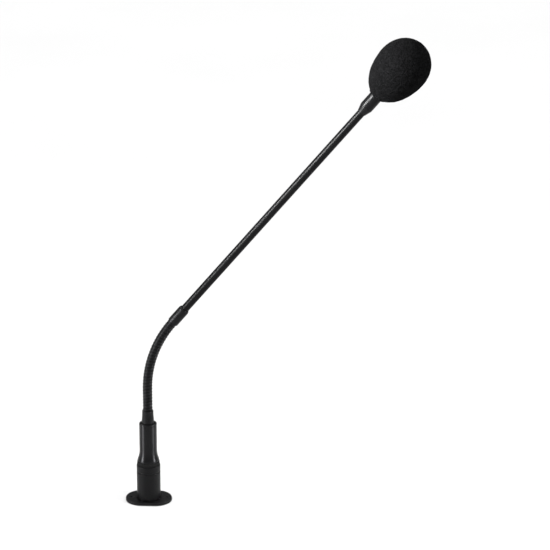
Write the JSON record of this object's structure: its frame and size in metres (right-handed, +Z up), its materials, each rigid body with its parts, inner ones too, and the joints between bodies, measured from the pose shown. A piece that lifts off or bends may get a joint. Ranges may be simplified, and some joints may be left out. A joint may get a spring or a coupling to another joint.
{
  "type": "gooseneck podium microphone",
  "caption": "Slim lectern microphone with a foam ball windscreen on a stiff arm, a short flexible neck and a latching plug that stands in a flanged panel socket",
  "frame": {"origin": "on the connector's axis, on the underside of the socket's flange, where the flange lies on its panel", "axes": "+Z runs up the connector's axis, out of the panel; the neck leans towards +X; the release tab is on the +Y side"},
  "size_m": [0.2397, 0.0422, 0.4198],
  "materials": {
    "black_shell": "satin",
    "boot_rubber": "matte",
    "gloss_collar": "gloss",
    "black_oxide_steel": "satin",
    "tube_paint": "satin",
    "bright_steel": "polished",
    "contact_metal": "polished",
    "insert_plastic": "satin",
    "lever_plastic": "satin",
    "cable_jacket": "satin",
    "board_green": "satin",
    "component_black": "satin",
    "capacitor_can": "satin",
    "foam": "matte"
  },
  "bodies": {
    "socket": {"socket_housing": "black_shell", "flange_screws": "black_oxide_steel", "socket_insert": "insert_plastic", "socket_contact_1": "contact_metal", "socket_contact_2": "contact_metal", "socket_contact_3": "contact_metal", "retaining_ring": "bright_steel", "ground_tag": "bright_steel", "lever_pin": "bright_steel", "lever_spring": "bright_steel"},
    "release_lever": {"release_lever": "lever_plastic"},
    "plug": {"plug_shell": "black_shell", "pin_insert": "insert_plastic", "insert_screw": "black_oxide_steel", "plug_pin_1": "contact_metal", "plug_pin_2": "contact_metal", "plug_pin_3": "contact_metal", "boot_ring": "boot_rubber", "base_collar": "gloss_collar", "neck_ferrule": "black_oxide_steel", "ferrule_nut": "bright_steel", "preamp_board": "board_green", "capacitor_1": "capacitor_can", "capacitor_2": "capacitor_can", "amplifier_chip": "component_black", "chip_resistors": "component_black", "base_cable": "cable_jacket"},
    "link_01": {"neck_link_01": "black_oxide_steel"},
    "link_02": {"neck_link_02": "black_oxide_steel"},
    "link_03": {"neck_link_03": "black_oxide_steel"},
    "link_04": {"neck_link_04": "black_oxide_steel"},
    "link_05": {"neck_link_05": "black_oxide_steel", "neck_cable": "cable_jacket"},
    "link_06": {"neck_link_06": "black_oxide_steel"},
    "link_07": {"neck_link_07": "black_oxide_steel"},
    "link_08": {"neck_link_08": "black_oxide_steel"},
    "link_09": {"neck_link_09": "black_oxide_steel"},
    "link_10": {"neck_link_10": "black_oxide_steel"},
    "arm": {"arm_ferrule": "black_oxide_steel", "arm_tube": "tube_paint", "arm_cable": "cable_jacket", "head_collar": "black_shell", "cable_grommet": "boot_rubber", "capsule_housing": "black_shell", "capsule_boot": "boot_rubber", "electret_capsule": "capacitor_can", "capsule_board": "board_green", "front_grille": "black_shell"},
    "windscreen": {"foam_windscreen": "foam"}
  },
  "joints": [
    {"name": "plug_pull", "type": "slide", "parent": "socket", "child": "plug", "axis": [0, 0, 1], "range_m": [0, 0.03]},
    {"name": "lever_press", "type": "hinge", "parent": "socket", "child": "release_lever", "pos_m": [0, 0.0104, -0.005], "axis": [1, 0, 0], "range_deg": [0, 7], "stiffness_Nm_per_rad": 0.05, "springref_deg": -5.73},
    {"name": "neck_bend_1", "type": "hinge", "parent": "plug", "child": "link_01", "pos_m": [0, 0, 0.078], "axis": [0, 1, 0], "range_deg": [-14, 8], "deforming": ["neck_cable"]},
    {"name": "neck_sway_1", "type": "hinge", "parent": "link_01", "child": "link_02", "pos_m": [0, 0, 0.08614], "axis": [1, 0, 0], "range_deg": [-12, 12], "deforming": ["neck_cable"]},
    {"name": "neck_bend_2", "type": "hinge", "parent": "link_02", "child": "link_03", "pos_m": [0, 0, 0.09427], "axis": [0, 1, 0], "range_deg": [-14, 8], "deforming": ["neck_cable"]},
    {"name": "neck_sway_2", "type": "hinge", "parent": "link_03", "child": "link_04", "pos_m": [0.00016, 0, 0.1024], "axis": [0.9982, 0, -0.0601], "range_deg": [-12, 12], "deforming": ["neck_cable"]},
    {"name": "neck_bend_3", "type": "hinge", "parent": "link_04", "child": "link_05", "pos_m": [0.00102, 0, 0.11049], "axis": [0, 1, 0], "range_deg": [-14, 8], "deforming": ["neck_cable"]},
    {"name": "neck_sway_3", "type": "hinge", "parent": "link_05", "child": "link_06", "pos_m": [0.0026, 0, 0.11847], "axis": [0.9711, 0, -0.2386], "range_deg": [-12, 12], "deforming": ["neck_cable"]},
    {"name": "neck_bend_4", "type": "hinge", "parent": "link_06", "child": "link_07", "pos_m": [0.00489, 0, 0.12627], "axis": [0, 1, 0], "range_deg": [-14, 8], "deforming": ["neck_cable"]},
    {"name": "neck_sway_4", "type": "hinge", "parent": "link_07", "child": "link_08", "pos_m": [0.00788, 0, 0.13384], "axis": [0.9124, 0, -0.4093], "range_deg": [-12, 12], "deforming": ["neck_cable"]},
    {"name": "neck_bend_5", "type": "hinge", "parent": "link_08", "child": "link_09", "pos_m": [0.01154, 0, 0.1411], "axis": [0, 1, 0], "range_deg": [-14, 8], "deforming": ["neck_cable"]},
    {"name": "neck_sway_5", "type": "hinge", "parent": "link_09", "child": "link_10", "pos_m": [0.01585, 0, 0.148], "axis": [0.8239, 0, -0.5667], "range_deg": [-12, 12], "deforming": ["neck_cable"]},
    {"name": "neck_bend_6", "type": "hinge", "parent": "link_10", "child": "arm", "pos_m": [0.02075, 0, 0.15449], "axis": [0, 1, 0], "range_deg": [-14, 8], "deforming": ["neck_cable"]},
    {"name": "windscreen_pull", "type": "slide", "parent": "arm", "child": "windscreen", "axis": [0.6388, 0, 0.7694], "range_m": [0, 0.06]}
  ],
  "couplings": [
    {"joint": "neck_bend_2", "follows": "neck_bend_1", "ratio": 1},
    {"joint": "neck_bend_3", "follows": "neck_bend_1", "ratio": 1},
    {"joint": "neck_bend_4", "follows": "neck_bend_1", "ratio": 1},
    {"joint": "neck_bend_5", "follows": "neck_bend_1", "ratio": 1},
    {"joint": "neck_bend_6", "follows": "neck_bend_1", "ratio": 1},
    {"joint": "neck_sway_2", "follows": "neck_sway_1", "ratio": 1},
    {"joint": "neck_sway_3", "follows": "neck_sway_1", "ratio": 1},
    {"joint": "neck_sway_4", "follows": "neck_sway_1", "ratio": 1},
    {"joint": "neck_sway_5", "follows": "neck_sway_1", "ratio": 1}
  ]
}
